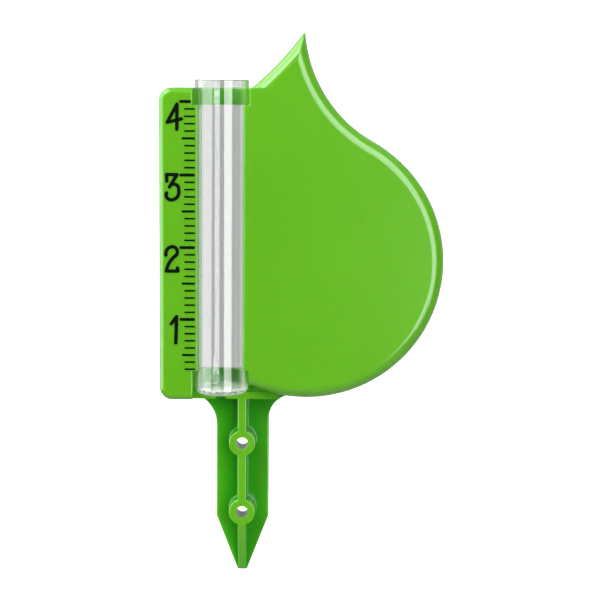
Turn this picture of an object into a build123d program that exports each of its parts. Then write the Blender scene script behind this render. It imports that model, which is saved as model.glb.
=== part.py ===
from build123d import *
import os
from math import sqrt

# Manual rain gauge: a moulded holder shaped as a scale panel, a raindrop and a stake, and a clear
# measuring vial that stands in the holder's channel and lifts out upwards. Millimetres, +Z up, the
# front faces -Y. The origin is midway between the two screw holes, on the flat back of the holder.

# Holder
DEPTH = 17.8  # from the flat back to the flush front face
WALL = 2.2  # moulded wall
PANEL_LEFT = -29.05
PANEL_BOTTOM = 29.9
PANEL_TOP = 139.9
PANEL_CORNER = 4.3
PANEL_EDGE = 2.1  # rounding of the panel's front rim
BLOCK_RIGHT = 8.5  # flush square block beside the top of the vial

# Raindrop outline: a round body, a hollow flank up to the tip and a nearly straight back
BODY = (22.7, 79.0)
BODY_R = 48.35
FLANK = (69.0, 162.9)
FLANK_R = 47.5
BACK = (88.5, 77.6)
BACK_R = 105.9
DROP_EDGE = 4.3  # rounding of the drop's front rim
DROP_TIP_R = 0.4

# Vial and its channel
VIAL_X = -7.4
VIAL_DEPTH = 6.6  # the vial's axis behind the front face
VIAL_R = 9.5
VIAL_WALL = 1.2
VIAL_BASE = 1.8
VIAL_LENGTH = 111.0
BASE_OUTER_R = 2.0
RIM_R = 0.4
CHANNEL_R = VIAL_R + 0.4
SLOT_HALF = 8.0  # half width between the lips that keep the vial from tipping forwards
SLOT_BOTTOM = 40.4
SLOT_TOP = 133.9
STRAP_TOP = 39.0  # top of the strap behind the foot of the vial
SLOT_EDGE = 0.5
SHELF_TOP = 31.7
SHELF_BOTTOM = 29.1
SHELF_RIGHT = 13.4
SHELF_CUT = 1.2
DRAIN_X = -7.7  # drain notch in the shelf's front edge, widening downwards
DRAIN_HALF = 1.3
DRAIN_FLARE = 0.6
DRAIN_DEPTH = 4.0
GUSSET_STEP = 0.25  # the gusset's face stands this much behind the shelf's

# Stake
STAKE_FRONT = 10.1  # rib, bosses, gusset and shelf all end at this height above the back
STAKE_HALF = 9.5
STAKE_WEB = 2.9
STAKE_EDGE = 0.5
FLARES = {-1: (11.6, 18.4), 1: (8.6, 20.7)}  # per side: radius and lower end of the flare
TAPER_TOP = -15.7
TIP = -35.9
TIP_HALF = 1.7
RIB_WIDTH = 3.1
RIB_TIP = 3.6  # the rib's height above the back where it runs out at the tip
RIB_END = TIP + 0.7
RIB_EDGE = 0.4
BOSS_ROOT = 0.5
TIP_CORNER = 0.7
BOSS_R = 4.75
HOLE_R = 2.25
HOLE_SPACING = 25.4

# Printed scale, in real inches from the vial's inner floor
INCH = 25.4
SCALE_ZERO = SHELF_TOP + VIAL_BASE
INK = 0.12
STROKE = 1.22
FIGURE_RISE = 0.2
TICK_RIGHT = -16.4
TOP_TICK_RIGHT = -17.7  # the last line stops short of the wider mouth of the channel
TICKS = {
    # reach to the left, line thickness
    "inch_ticks": (-21.9, 1.04),
    "half_inch_ticks": (-21.1, 0.76),
    "tenth_ticks": (-20.2, 0.58),
}
TICK_STEPS = {"inch_ticks": 10, "half_inch_ticks": 5, "tenth_ticks": 1}  # tenths of an inch
FIRST_TICK = 3  # tenths of an inch
LAST_TICK = 40


def circle_z(centre, radius, x, side):
    """Height at which a vertical line at x crosses a circle, above (+1) or below (-1) its centre."""
    return centre[1] + side * sqrt(radius**2 - (x - centre[0]) ** 2)


def circles_meet(first, first_r, second, second_r, side):
    """Point where two circles cross, to one side of the line from the first centre to the second."""
    dx, dz = second[0] - first[0], second[1] - first[1]
    gap = sqrt(dx**2 + dz**2)
    along = (first_r**2 - second_r**2 + gap**2) / (2 * gap)
    across = side * sqrt(max(first_r**2 - along**2, 0))
    return (
        first[0] + (along * dx - across * dz) / gap,
        first[1] + (along * dz + across * dx) / gap,
    )


vial_y = VIAL_DEPTH - DEPTH
channel_left = VIAL_X - CHANNEL_R
channel_right = VIAL_X + CHANNEL_R

# The body's arc and the flank's arc are tangent, so they touch on the line between their centres
centre_gap = sqrt((FLANK[0] - BODY[0]) ** 2 + (FLANK[1] - BODY[1]) ** 2)
touch = (
    BODY[0] + (FLANK[0] - BODY[0]) * BODY_R / centre_gap,
    BODY[1] + (FLANK[1] - BODY[1]) * BODY_R / centre_gap,
)
tip = circles_meet(FLANK, centre_gap - BODY_R, BACK, BACK_R, -1)
drop_low = (channel_right, circle_z(BODY, BODY_R, channel_right, -1))
drop_high = (channel_right, circle_z(BACK, BACK_R, channel_right, 1))


def block(x, y, z, mode=Mode.ADD):
    """A block given by its (low, high) reach along each axis."""
    with Locations((x[0], y[0], z[0])):
        Box(x[1] - x[0], y[1] - y[0], z[1] - z[0], align=Align.MIN, mode=mode)


def open_front_channel(low, high):
    """Cuts the vial's channel over a height where it is open in front and closed behind."""
    with BuildSketch(Plane.XY.offset(low)) as section:
        with Locations((VIAL_X, vial_y)):
            Circle(CHANNEL_R)
            Rectangle(2 * CHANNEL_R, DEPTH, align=(Align.CENTER, Align.MAX))
    extrude(section.sketch, amount=high - low, mode=Mode.SUBTRACT)


def open_back_channel(low, high):
    """Cuts the vial's channel over a height where it is open behind and has lips in front."""
    lip = -sqrt(CHANNEL_R**2 - SLOT_HALF**2)
    section_plane = Plane((VIAL_X, vial_y, low))
    with BuildSketch(section_plane) as section:
        with BuildLine():
            Polyline((-CHANNEL_R, 0), (-CHANNEL_R, DEPTH), (CHANNEL_R, DEPTH), (CHANNEL_R, 0))
            RadiusArc((CHANNEL_R, 0), (SLOT_HALF, lip), CHANNEL_R)
            Polyline((SLOT_HALF, lip), (SLOT_HALF, -DEPTH), (-SLOT_HALF, -DEPTH), (-SLOT_HALF, lip))
            RadiusArc((-SLOT_HALF, lip), (-CHANNEL_R, 0), CHANNEL_R)
        make_face()
    extrude(section.sketch, amount=high - low, mode=Mode.SUBTRACT)


def front_edges(edges):
    """Of the given edges, those that lie in the flush front face."""
    return edges.filter_by_position(Axis.Y, -DEPTH, -DEPTH)


def on_outline(edge):
    """Whether an edge of the web's front lies on its outline, rather than around the rib or a boss."""
    return abs(edge.center().X) > BOSS_R + 0.5


with BuildPart() as holder:
    # Raindrop, rounded along its whole curved front rim
    with BuildSketch(Plane.XZ):
        with BuildLine():
            ThreePointArc(drop_low, (BODY[0], BODY[1] - BODY_R), (BODY[0] + BODY_R, BODY[1]))
            RadiusArc((BODY[0] + BODY_R, BODY[1]), touch, -BODY_R)
            RadiusArc(touch, tip, FLANK_R)
            RadiusArc(tip, drop_high, BACK_R)
            Line(drop_high, drop_low)
        make_face()
    extrude(amount=DEPTH)
    fillet(front_edges(holder.edges()).filter_by(GeomType.CIRCLE), radius=DROP_EDGE)
    fillet(holder.edges().filter_by(Axis.Y).sort_by(Axis.Z)[-1], radius=DROP_TIP_R)

    # Scale panel, rounded along its front rim
    panel_x = (PANEL_LEFT, VIAL_X)
    block(panel_x, (-DEPTH, 0), (PANEL_BOTTOM, PANEL_TOP))
    fillet(holder.edges().filter_by(Axis.Y).group_by(Axis.X)[0], radius=PANEL_CORNER)
    rim = front_edges(holder.edges()).filter_by(lambda edge: edge.center().X < VIAL_X - 0.1)
    fillet(rim, radius=PANEL_EDGE)

    # Block between the two, which holds the vial, and the shelf and gusset below it
    block((VIAL_X, BLOCK_RIGHT), (-DEPTH, 0), (SLOT_TOP - WALL, PANEL_TOP))
    block((VIAL_X, channel_right + WALL), (-DEPTH, 0), (SLOT_BOTTOM, SLOT_TOP))
    block((VIAL_X, channel_right), (-DEPTH, 0), (SHELF_TOP, SLOT_BOTTOM))
    block((channel_left, channel_right), (-DEPTH, -STAKE_FRONT), (0, SHELF_TOP), Mode.SUBTRACT)
    block((channel_right, SHELF_RIGHT), (GUSSET_STEP - STAKE_FRONT, 0), (SHELF_TOP, drop_low[1]))
    block((channel_left - WALL, SHELF_RIGHT), (-STAKE_FRONT, 0), (SHELF_BOTTOM, SHELF_TOP))
    corner = holder.edges().filter_by(Axis.Y).filter_by_position(Axis.Z, SHELF_BOTTOM, SHELF_BOTTOM)
    chamfer(corner.sort_by(Axis.X)[-1], length=SHELF_CUT)

    # Vial's channel: straps behind it at the bottom and the top, lips in front of it in between
    open_front_channel(SHELF_TOP, SLOT_BOTTOM)
    open_back_channel(SLOT_BOTTOM, SLOT_TOP)
    open_front_channel(SLOT_TOP, PANEL_TOP)
    block((channel_left, channel_right), (vial_y, 0), (STRAP_TOP, SLOT_BOTTOM), Mode.SUBTRACT)

    # Hollow back of the panel and of the drop
    block(
        (PANEL_LEFT + WALL, channel_left - WALL),
        (WALL - DEPTH, 0),
        (PANEL_BOTTOM + WALL, PANEL_TOP - WALL),
        Mode.SUBTRACT,
    )
    with BuildSketch(Plane.XZ):
        with BuildLine():
            ThreePointArc(drop_low, (BODY[0], BODY[1] - BODY_R), (BODY[0] + BODY_R, BODY[1]))
            RadiusArc((BODY[0] + BODY_R, BODY[1]), touch, -BODY_R)
            RadiusArc(touch, tip, FLANK_R)
            RadiusArc(tip, drop_high, BACK_R)
            Line(drop_high, drop_low)
        make_face()
        offset(amount=-WALL, kind=Kind.INTERSECTION, mode=Mode.REPLACE)
    extrude(amount=DEPTH - WALL, mode=Mode.SUBTRACT)

    # Soft edges around the opening of the channel
    rim = front_edges(holder.edges()).filter_by(
        lambda edge: channel_left - 0.1 < edge.center().X < channel_right + 0.1 and edge.length > WALL - 0.3
    )
    fillet(rim, radius=SLOT_EDGE)

    # Stake: a flat web that flares into the body, with a rib and two screw bosses on it
    with BuildSketch(Plane.XZ) as web:
        with BuildLine():
            for side, (radius, bottom) in FLARES.items():
                edge_x = side * STAKE_HALF
                flare_x = side * (STAKE_HALF + radius)
                Polyline((0, TIP), (side * TIP_HALF, TIP), (edge_x, TAPER_TOP), (edge_x, bottom))
                RadiusArc((edge_x, bottom), (flare_x, bottom + radius), side * radius)
                Polyline((flare_x, bottom + radius), (flare_x, SHELF_TOP), (0, SHELF_TOP))
        make_face()
        fillet(web.vertices().group_by(Axis.Y)[0], radius=TIP_CORNER)
    extrude(amount=STAKE_WEB)
    with BuildSketch(Plane.YZ.offset(-RIB_WIDTH / 2)):
        with BuildLine():
            Polyline(
                (0, SHELF_BOTTOM),
                (0, RIB_END),
                (-RIB_TIP, RIB_END),
                (-STAKE_FRONT, -HOLE_SPACING / 2 - BOSS_R),
                (-STAKE_FRONT, SHELF_BOTTOM),
                close=True,
            )
        make_face()
    extrude(amount=RIB_WIDTH)
    with BuildSketch(Plane.XZ):
        with GridLocations(0, HOLE_SPACING, 1, 2):
            Circle(BOSS_R)
    extrude(amount=STAKE_FRONT)

    # Soft edges on the rib and the bosses, where they stand on the web, and around the web
    stake_edges = holder.edges().filter_by_position(Axis.Z, TIP, SHELF_BOTTOM - 0.01)
    crest = stake_edges.filter_by_position(Axis.Y, -STAKE_FRONT, -RIB_TIP).filter_by(
        lambda edge: abs(edge.tangent_at(0.5).Y) < 0.9 and abs(edge.center().X) > RIB_WIDTH / 2 - 0.01
    )
    fillet(crest, radius=RIB_EDGE)
    stake_edges = holder.edges().filter_by_position(Axis.Z, TIP, SHELF_BOTTOM - 0.01)
    on_web = stake_edges.filter_by_position(Axis.Y, -STAKE_WEB, -STAKE_WEB)
    fillet(on_web.filter_by(on_outline), radius=STAKE_EDGE)
    stake_edges = holder.edges().filter_by_position(Axis.Z, -HOLE_SPACING / 2 - BOSS_R, SHELF_BOTTOM - 0.01)
    on_web = stake_edges.filter_by_position(Axis.Y, -STAKE_WEB, -STAKE_WEB)
    roots = on_web.filter_by(lambda edge: abs(edge.center().X) < BOSS_R + 0.5)
    fillet(roots, radius=BOSS_ROOT)

    # Screw holes and the drain notch in the shelf under the vial
    with BuildSketch(Plane.XZ):
        with GridLocations(0, HOLE_SPACING, 1, 2):
            Circle(HOLE_R)
    extrude(amount=STAKE_FRONT, mode=Mode.SUBTRACT)
    with BuildSketch(Plane.XZ.offset(STAKE_FRONT - DRAIN_DEPTH)):
        with BuildLine():
            Polyline(
                (DRAIN_X - DRAIN_HALF, SHELF_TOP),
                (DRAIN_X + DRAIN_HALF, SHELF_TOP),
                (DRAIN_X + DRAIN_HALF + DRAIN_FLARE, SHELF_BOTTOM),
                (DRAIN_X - DRAIN_HALF - DRAIN_FLARE, SHELF_BOTTOM),
                close=True,
            )
        make_face()
    extrude(amount=DRAIN_DEPTH, mode=Mode.SUBTRACT)
holder.part.label = "holder"

vial_axis = Axis((VIAL_X, vial_y, 0), (0, 0, 1))
with BuildPart() as vial:
    # Clear tube with a thick rounded base and a plain rim
    with BuildSketch(Plane((VIAL_X, vial_y, SHELF_TOP), x_dir=(1, 0, 0), z_dir=(0, -1, 0))):
        with BuildLine():
            Polyline(
                (0, 0),
                (VIAL_R, 0),
                (VIAL_R, VIAL_LENGTH),
                (VIAL_R - VIAL_WALL, VIAL_LENGTH),
                (VIAL_R - VIAL_WALL, VIAL_BASE),
                (0, VIAL_BASE),
                close=True,
            )
        make_face()
    revolve(axis=vial_axis)
    rings = vial.edges().filter_by(GeomType.CIRCLE).group_by(Axis.Z)
    fillet(rings[0], radius=BASE_OUTER_R)
    rings = vial.edges().filter_by(GeomType.CIRCLE).group_by(Axis.Z)
    fillet(rings[-1], radius=RIM_R)
vial.part.label = "vial"

FIGURES = {
    # inch: rounded strokes, each a line or a three-point arc, as (x, height above the inch line)
    1: (
        ((-24.8, -1.8), (-22.9, 0.8)),
        ((-22.9, 0.8), (-23.2, -8.6)),
    ),
    2: (
        ((-26.6, -2.9), (-26.0, -0.7), (-24.3, 0.1)),
        ((-24.3, 0.1), (-22.6, -1.4), (-23.0, -2.9)),
        ((-23.0, -2.9), (-25.6, -5.9), (-26.5, -8.5)),
        ((-26.5, -8.5), (-22.4, -8.5)),
        ((-22.4, -8.5), (-22.6, -7.4)),
    ),
    3: (
        ((-26.2, -2.4), (-26.3, -0.1)),
        ((-26.3, -0.1), (-22.65, -0.1)),
        ((-22.65, -0.1), (-25.3, -4.4)),
        ((-25.3, -4.4), (-23.6, -3.4), (-22.1, -5.4)),
        ((-22.1, -5.4), (-22.8, -8.1), (-24.9, -8.9)),
        ((-24.9, -8.9), (-26.2, -8.1), (-26.3, -6.5)),
    ),
    4: (
        ((-22.6, -1.1), (-26.0, -7.4)),
        ((-26.0, -7.4), (-21.1, -6.2)),
        ((-22.6, -1.1), (-22.7, -9.8)),
    ),
}

printed = []
for inch, strokes in FIGURES.items():
    with BuildPart() as figure:
        # A figure printed on the panel beside its inch line
        with BuildSketch(Plane.XZ.offset(DEPTH)):
            with Locations((0, SCALE_ZERO + FIGURE_RISE + inch * INCH)):
                for points in strokes:
                    curve = Edge.make_line if len(points) == 2 else Edge.make_three_point_arc
                    SlotArc(curve(*points), STROKE)
        extrude(amount=INK)
    figure.part.label = f"numeral_{inch}"
    printed.append(figure.part)

for label, (left, line) in TICKS.items():
    step = TICK_STEPS[label]
    with BuildPart() as ticks:
        # Rounded scale lines, from the slot's edge towards the figures
        with BuildSketch(Plane.XZ.offset(DEPTH)):
            for tenth in range(FIRST_TICK, LAST_TICK + 1):
                coarsest = max(size for size in TICK_STEPS.values() if tenth % size == 0)
                if coarsest == step:
                    right = TOP_TICK_RIGHT if tenth == LAST_TICK else TICK_RIGHT
                    with Locations(((left + right) / 2, SCALE_ZERO + tenth * INCH / 10)):
                        SlotOverall(right - left, line)
        extrude(amount=INK)
    ticks.part.label = label
    printed.append(ticks.part)

os.makedirs("parts", exist_ok=True)
for piece in [holder.part, vial.part, *printed]:
    export_step(piece, f"parts/{piece.label}.step")
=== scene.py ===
from math import cos, pi, radians, sin

import bmesh
import bpy
from mathutils import Matrix, Vector

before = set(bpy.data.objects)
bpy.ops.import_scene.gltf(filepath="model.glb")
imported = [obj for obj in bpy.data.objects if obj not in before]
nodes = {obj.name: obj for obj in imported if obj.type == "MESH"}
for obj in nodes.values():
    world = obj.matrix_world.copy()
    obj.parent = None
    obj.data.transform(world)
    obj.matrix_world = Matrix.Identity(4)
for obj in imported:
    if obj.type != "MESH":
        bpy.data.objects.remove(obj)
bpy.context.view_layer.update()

# ---------------------------------------------------------------- places in the frame, metres

# Painted shade: the holder's green is painted darker and more saturated the further back a surface
# lies; it is lightest in front of the first of these depths and halfway to its darkest at the
# second.
SHADE_START_Y = -0.0095
SHADE_HALF_Y = -0.0030
# How far the ambient occlusion reaches when it paints shade, a darker green, into recesses.
SHADE_OCCLUSION_REACH = 0.012

# Painted light: below the holder's top strap the vial's edges are painted whitish, standing in for
# light gathered in its walls.
STRAP_FOOT_Z = 0.1345
BELOW_STRAP_Z = 0.1325
# Painted light: the vial's thick base is painted with whitish sparkle, standing in for light caught
# in it; the sparkle fades out between these heights.
BASE_CLEAR_Z = 0.0352
BASE_GLINTS_FULL_Z = 0.0335

# The floor runs from well in front of the object and curves up into a backdrop behind it.
FLOOR_Z = -0.0362
FLOOR_FRONT_Y = -2.0
FLOOR_HALF_WIDTH = 2.4
BACK_Y = 0.9
BACK_TOP_Z = 2.2
SWEEP_RADIUS = 0.35
SWEEP_STEPS = 16

LIGHT_CENTRE = Vector((0.02, -0.01, 0.07))

CAMERA_PLACE = Vector((0.0205, -0.5936, 0.1419))
CAMERA_PITCH = radians(7.5)
CAMERA_ROLL = radians(0.44)
CAMERA_LENS_MM = 99.1
CAMERA_SENSOR_MM = 36.0
CAMERA_CLIP_START = 0.01

WHITE = (1.0, 1.0, 1.0)

# ---------------------------------------------------------------- node helpers


def material(name):
    """A new node material, its node tree and its Principled shader."""
    new = bpy.data.materials.new(name)
    new.use_nodes = True
    tree = new.node_tree
    return new, tree, tree.nodes["Principled BSDF"]


def noise(tree, scale, detail, stretch=(1.0, 1.0, 1.0)):
    """Noise in object coordinates, 0 to 1; scale is in features per metre."""
    coordinates = tree.nodes.new("ShaderNodeTexCoord")
    mapping = tree.nodes.new("ShaderNodeMapping")
    mapping.inputs["Scale"].default_value = stretch
    texture = tree.nodes.new("ShaderNodeTexNoise")
    texture.inputs["Scale"].default_value = scale
    texture.inputs["Detail"].default_value = detail
    tree.links.new(coordinates.outputs["Object"], mapping.inputs["Vector"])
    tree.links.new(mapping.outputs["Vector"], texture.inputs["Vector"])
    return texture.outputs["Fac"]


def remapped(tree, source, start, end, low, high):
    """Maps start to end onto low to high, clamped."""
    node = tree.nodes.new("ShaderNodeMapRange")
    for socket, value in zip(("From Min", "From Max", "To Min", "To Max"), (start, end, low, high)):
        node.inputs[socket].default_value = value
    tree.links.new(source, node.inputs["Value"])
    return node.outputs["Result"]


def axis_value(tree, coordinates, axis):
    """The X, Y or Z of a texture coordinate; Object coordinates are in metres."""
    source = tree.nodes.new("ShaderNodeTexCoord")
    split = tree.nodes.new("ShaderNodeSeparateXYZ")
    tree.links.new(source.outputs[coordinates], split.inputs["Vector"])
    return split.outputs[axis]


def maths(tree, operation, *values):
    """A Math node; each value is a socket or a number."""
    node = tree.nodes.new("ShaderNodeMath")
    node.operation = operation
    for socket, value in zip(node.inputs, values):
        if isinstance(value, float):
            socket.default_value = value
        else:
            tree.links.new(value, socket)
    return node.outputs["Value"]


def mixed(tree, factor, first, second):
    """A colour that goes from first to second as the factor goes from 0 to 1."""
    node = tree.nodes.new("ShaderNodeMix")
    node.data_type = "RGBA"
    # The node has sockets of the same names for every data type, so the colour ones go by number.
    factor_socket, first_socket, second_socket = node.inputs[0], node.inputs[6], node.inputs[7]
    colour_out = node.outputs[2]
    tree.links.new(factor, factor_socket)
    for socket, value in ((first_socket, first), (second_socket, second)):
        if isinstance(value, tuple):
            socket.default_value = (*value, 1.0)
        else:
            tree.links.new(value, socket)
    return colour_out


def two_colours(tree, source, first, second):
    """A colour that runs from first to second over the middle of the source's range."""
    ramp = tree.nodes.new("ShaderNodeValToRGB")
    for stop, position, colour in zip(ramp.color_ramp.elements, (0.3, 0.7), (first, second)):
        stop.position = position
        stop.color = (*colour, 1.0)
    tree.links.new(source, ramp.inputs["Fac"])
    return ramp.outputs["Color"]


def bumps(tree, shader, *layers):
    """Stacks bump layers, each (height socket, depth in metres), onto the shader's normal."""
    normal = None
    for height, depth in layers:
        bump = tree.nodes.new("ShaderNodeBump")
        bump.inputs["Strength"].default_value = 1.0
        bump.inputs["Distance"].default_value = depth
        tree.links.new(height, bump.inputs["Height"])
        if normal:
            tree.links.new(normal, bump.inputs["Normal"])
        normal = bump.outputs["Normal"]
    tree.links.new(normal, shader.inputs["Normal"])


# ---------------------------------------------------------------- materials


def green_plastic():
    """Glossy yellow-green moulded plastic with faint flow and ripple, and painted shade: a darker,
    more saturated green painted into its recesses and onto surfaces set back from the front.
    """
    new, tree, shader = material("holder_green_plastic")
    flow = noise(tree, 14.0, 3.0)
    grain = noise(tree, 2600.0, 2.0)
    ripple = noise(tree, 90.0, 1.0)
    unshaded_green = two_colours(tree, flow, (0.084, 0.312, 0.0062), (0.094, 0.332, 0.0074))
    # Painted shade: a darker, more saturated green standing in for shadow and light bounced between
    # green walls.
    painted_shade_green = two_colours(tree, flow, (0.013, 0.255, 0.0004), (0.016, 0.275, 0.0006))
    inward_shade = remapped(tree, axis_value(tree, "Object", "Y"), SHADE_START_Y, SHADE_HALF_Y, 0.0, 0.5)
    recess = tree.nodes.new("ShaderNodeAmbientOcclusion")
    recess.samples = 8
    recess.only_local = True
    recess.inputs["Distance"].default_value = SHADE_OCCLUSION_REACH
    occlusion_shade = remapped(tree, recess.outputs["AO"], 0.95, 0.45, 0.0, 0.8)
    # Painted shade amount: greater the further back the surface lies and the more ambient occlusion
    # encloses it.
    depth = maths(tree, "MINIMUM", 1.0, maths(tree, "ADD", inward_shade, occlusion_shade))
    tree.links.new(mixed(tree, depth, unshaded_green, painted_shade_green), shader.inputs["Base Color"])
    tree.links.new(remapped(tree, flow, 0.0, 1.0, 0.15, 0.20), shader.inputs["Roughness"])
    shader.inputs["IOR"].default_value = 1.49
    shader.inputs["Specular IOR Level"].default_value = 0.8
    shader.inputs["Subsurface Weight"].default_value = 0.45
    shader.inputs["Subsurface Radius"].default_value = (0.35, 1.0, 0.08)
    shader.inputs["Subsurface Scale"].default_value = 0.0035
    bumps(tree, shader, (ripple, 0.00002), (grain, 0.0000015))
    return new


def clear_plastic():
    """Clear polished styrene with faint drawing lines, and painted light: whitish at grazing angles
    below the strap and sparkling in the thick base, standing in for light gathered in the glass.
    """
    new, tree, shader = material("vial_clear_plastic")
    flow = noise(tree, 60.0, 2.0, stretch=(1.0, 1.0, 0.04))
    tint = two_colours(tree, flow, (0.94, 0.945, 0.94), (0.96, 0.965, 0.96))
    tree.links.new(tint, shader.inputs["Base Color"])
    tree.links.new(remapped(tree, flow, 0.0, 1.0, 0.01, 0.035), shader.inputs["Roughness"])

    edge = tree.nodes.new("ShaderNodeLayerWeight")
    edge.inputs["Blend"].default_value = 0.5
    height = axis_value(tree, "Object", "Z")
    # Painted light: where the walls are seen edge-on below the strap, part of the transmission turns
    # to whitish diffuse.
    grazing = remapped(tree, edge.outputs["Facing"], 0.28, 0.85, 0.0, 0.60)
    below_strap = remapped(tree, height, STRAP_FOOT_Z, BELOW_STRAP_Z, 0.15, 1.0)
    painted_edge_light = maths(tree, "MULTIPLY", grazing, below_strap)

    # Painted glints: whitish sparkle in the thick base, standing in for light caught in it.
    sparkle = remapped(tree, noise(tree, 700.0, 2.0), 0.40, 0.62, 0.02, 0.40)
    in_base = remapped(tree, height, BASE_CLEAR_Z, BASE_GLINTS_FULL_Z, 0.0, 1.0)
    painted_base_glints = maths(tree, "MULTIPLY", sparkle, in_base)

    clearness = maths(tree, "SUBTRACT", 1.0, maths(tree, "MAXIMUM", painted_edge_light, painted_base_glints))
    tree.links.new(clearness, shader.inputs["Transmission Weight"])
    shader.inputs["IOR"].default_value = 1.59
    bumps(tree, shader, (flow, 0.00003))
    return new


def scale_ink():
    """Near-black printed ink, slightly uneven, with a dull sheen."""
    new, tree, shader = material("scale_printed_ink")
    patch = noise(tree, 900.0, 3.0)
    colour = two_colours(tree, patch, (0.0004, 0.0030, 0.0004), (0.001, 0.0050, 0.001))
    tree.links.new(colour, shader.inputs["Base Color"])
    tree.links.new(remapped(tree, patch, 0.0, 1.0, 0.65, 0.8), shader.inputs["Roughness"])
    shader.inputs["Specular IOR Level"].default_value = 0.05
    bumps(tree, shader, (patch, 0.00001))
    return new


def stage_white():
    """Plain pale floor and backdrop, faintly uneven."""
    new, tree, shader = material("stage_white")
    colour = two_colours(tree, noise(tree, 3.0, 1.0), (0.50, 0.50, 0.50), (0.52, 0.52, 0.52))
    tree.links.new(colour, shader.inputs["Base Color"])
    shader.inputs["Roughness"].default_value = 0.9
    shader.inputs["Emission Color"].default_value = (*WHITE, 1.0)
    shader.inputs["Emission Strength"].default_value = 0.75
    return new


def dress_nodes():
    """Gives every CAD node its material: the holder, the vial, and ink on all the rest."""
    own_material = {"holder": green_plastic(), "vial": clear_plastic()}
    ink = scale_ink()
    for name, node in nodes.items():
        for slot in node.material_slots:
            slot.material = own_material.get(name, ink)
    # The clear vial casts no shadow and diffuse rays miss it, so the holder behind it stays light.
    nodes["vial"].visible_shadow = False
    nodes["vial"].visible_diffuse = False


# ---------------------------------------------------------------- stage, lights, camera


def sweep_floor():
    """A floor that curves up into a backdrop far behind the object, seen by the camera alone."""
    line = [(FLOOR_FRONT_Y, FLOOR_Z)]
    for step in range(SWEEP_STEPS + 1):
        turn = step / SWEEP_STEPS * pi / 2
        y = BACK_Y - SWEEP_RADIUS + SWEEP_RADIUS * sin(turn)
        z = FLOOR_Z + SWEEP_RADIUS - SWEEP_RADIUS * cos(turn)
        line.append((y, z))
    line.append((BACK_Y, BACK_TOP_Z))

    mesh = bpy.data.meshes.new("stage_floor")
    build = bmesh.new()
    left, right = (
        [build.verts.new((x, y, z)) for y, z in line] for x in (-FLOOR_HALF_WIDTH, FLOOR_HALF_WIDTH)
    )
    for near_left, far_left, far_right, near_right in zip(left, left[1:], right[1:], right):
        build.faces.new((near_left, near_right, far_right, far_left)).smooth = True
    build.to_mesh(mesh)
    build.free()

    floor = bpy.data.objects.new("stage_floor", mesh)
    bpy.context.scene.collection.objects.link(floor)
    mesh.materials.append(stage_white())
    floor.visible_diffuse = False
    floor.visible_glossy = False
    floor.visible_transmission = False
    floor.visible_shadow = False


def softbox(name, azimuth, elevation, distance, size, power):
    """A rectangular area light that faces LIGHT_CENTRE and that the camera doesn't see.

    Azimuth 0 is in front of the object and positive to its right; angles are in degrees,
    size is (width, height) in metres and power is in watts.
    """
    azimuth, elevation = radians(azimuth), radians(elevation)
    flat = distance * cos(elevation)
    offset = Vector((flat * sin(azimuth), -flat * cos(azimuth), distance * sin(elevation)))
    data = bpy.data.lights.new(name, "AREA")
    data.shape = "RECTANGLE"
    data.size, data.size_y = size
    data.energy = power
    lamp = bpy.data.objects.new(name, data)
    lamp.visible_camera = False
    lamp.location = LIGHT_CENTRE + offset
    lamp.rotation_euler = (-offset).to_track_quat("-Z", "Y").to_euler()
    bpy.context.scene.collection.objects.link(lamp)


def studio_world():
    """White to the camera, and to all other rays a dim grey, brighter overhead, below and behind."""
    world = bpy.data.worlds.new("studio")
    world.use_nodes = True
    tree = world.node_tree
    upward = axis_value(tree, "Generated", "Z")
    backward = axis_value(tree, "Generated", "Y")
    below = remapped(tree, upward, -0.30, -0.75, 0.05, 0.45)
    above = remapped(tree, upward, 0.30, 0.80, 0.07, 0.35)
    front = maths(tree, "MAXIMUM", below, above)
    behind = remapped(tree, backward, 0.10, 0.45, 0.0, 1.0)
    surround = mixed(tree, behind, front, (0.55, 0.55, 0.55))
    to_camera = tree.nodes.new("ShaderNodeLightPath").outputs["Is Camera Ray"]
    colour = mixed(tree, to_camera, surround, WHITE)
    tree.links.new(colour, tree.nodes["Background"].inputs["Color"])
    bpy.context.scene.world = world


def place_camera():
    """The photograph's view: from in front and a little above, pitched down, with a slight roll."""
    data = bpy.data.cameras.new("camera")
    data.sensor_width = CAMERA_SENSOR_MM
    data.lens = CAMERA_LENS_MM
    data.clip_start = CAMERA_CLIP_START
    camera = bpy.data.objects.new("camera", data)
    aim = Matrix.Rotation(pi / 2 - CAMERA_PITCH, 4, "X") @ Matrix.Rotation(CAMERA_ROLL, 4, "Z")
    camera.matrix_world = Matrix.Translation(CAMERA_PLACE) @ aim
    bpy.context.scene.collection.objects.link(camera)
    bpy.context.scene.camera = camera


dress_nodes()
sweep_floor()
softbox("right_front", azimuth=29.5, elevation=14, distance=1.0, size=(0.67, 1.35), power=14.0)
softbox("left_side", azimuth=-78, elevation=28, distance=1.05, size=(1.80, 2.20), power=40.0)
softbox("upper_left", azimuth=-36, elevation=40, distance=1.1, size=(0.60, 0.45), power=3.4)
studio_world()
place_camera()
bpy.context.scene.view_settings.view_transform = "Standard"
